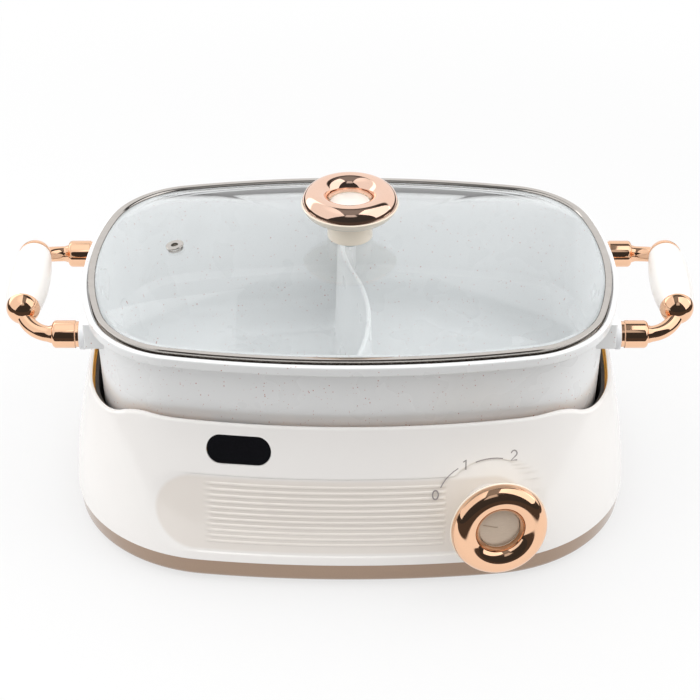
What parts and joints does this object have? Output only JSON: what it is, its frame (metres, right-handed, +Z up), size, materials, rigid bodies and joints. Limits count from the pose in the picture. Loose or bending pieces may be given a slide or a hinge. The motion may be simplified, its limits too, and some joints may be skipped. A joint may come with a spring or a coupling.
{
  "type": "electric hot pot",
  "caption": "Electric hot pot with a divided lift-out pot, side handles, a loose domed glass lid with a knob, and a heat dial on the front.",
  "frame": {"origin": "middle of the four feet's footprint, on the plane that they stand on", "axes": "+X to the right seen from the front, +Y to the back, +Z up"},
  "size_m": [0.4206, 0.2794, 0.2029],
  "materials": {
    "casing": "glossy warm white",
    "tray": "glossy bronze",
    "rubber": "matte pale grey",
    "steel": "zinc plated",
    "brass": "plain",
    "window": "dark, glossy",
    "lamp": "clear lamp bodies",
    "board": "circuit board green",
    "thermostat": "moulded resin",
    "cream": "glossy cream",
    "washer": "heatproof white",
    "rose_metal": "polished rose gold plating",
    "disc": "bright, rose tinted",
    "liner": "dark heat resistant paint",
    "plate": "as cast",
    "element": "heat tinted sheath",
    "ceramic": "unglazed",
    "inlet": "black",
    "live": "brown insulation",
    "neutral": "blue insulation",
    "earth": "green insulation",
    "red": "red insulation",
    "pot": "pale non-stick coating with rust-red speckles",
    "glass": "clear tempered",
    "lid_steel": "polished band"
  },
  "bodies": {
    "base": {"base_tray": "tray", "rubber_feet": "rubber", "casing_screws": "steel", "outer_casing": "casing", "window_lens": "window", "lamps": "lamp", "lamp_board": "board", "thermostat_body": "thermostat", "thermostat_blades": "brass", "thermostat_nut": "steel", "heat_liner": "liner", "liner_screws": "steel", "heating_plate": "plate", "heating_element": "element", "element_terminals": "steel", "plate_posts": "steel", "plate_studs": "steel", "plate_washers": "steel", "plate_nuts": "steel", "earth_tag": "brass", "sensor_guide": "plate", "sensor_spring": "steel", "power_inlet": "inlet", "inlet_blades": "brass", "inlet_screws": "steel", "thermal_fuse": "ceramic", "fuse_clip": "steel", "terminal_block": "ceramic", "live_wire": "live", "fuse_wire": "live", "switched_wire": "live", "neutral_wire": "neutral", "element_wires": "red", "lamp_wires": "red", "earth_wire": "earth"},
    "temperature_sensor": {"sensor_cap": "plate", "sensor_clip": "steel"},
    "control_dial": {"thermostat_shaft": "steel", "dial_base": "cream", "dial_ring": "rose_metal", "dial_disc": "disc"},
    "pot": {"inner_pot": "pot", "handle_washers": "washer", "handle_studs": "steel", "grip_rods": "steel", "grip_left": "cream", "grip_right": "cream", "elbow_left_front": "rose_metal", "elbow_left_rear": "rose_metal", "elbow_right_front": "rose_metal", "elbow_right_rear": "rose_metal"},
    "lid": {"lid_glass": "glass", "lid_rim": "lid_steel", "vent_eyelet": "lid_steel", "knob_base": "cream", "knob_ring": "rose_metal", "knob_disc": "disc", "knob_washer": "washer", "knob_screw": "steel"}
  },
  "joints": [
    {"name": "dial_turn", "type": "hinge", "parent": "base", "child": "control_dial", "pos_m": [0.08736, -0.13778, 0.05406], "axis": [-0.189, 0.9721, -0.1392], "range_deg": [0, 95]},
    {"name": "sensor_press", "type": "slide", "parent": "base", "child": "temperature_sensor", "axis": [0, 0, -1], "range_m": [0, 0.0025], "stiffness_N_per_m": 400, "springref_m": -0.005, "deforming": ["sensor_spring"]},
    {"name": "pot_lift", "type": "slide", "parent": "base", "child": "pot", "axis": [0, 0, 1], "range_m": [0, 0.1]},
    {"name": "lid_lift", "type": "slide", "parent": "pot", "child": "lid", "axis": [0, 0, 1], "range_m": [0, 0.08]}
  ]
}
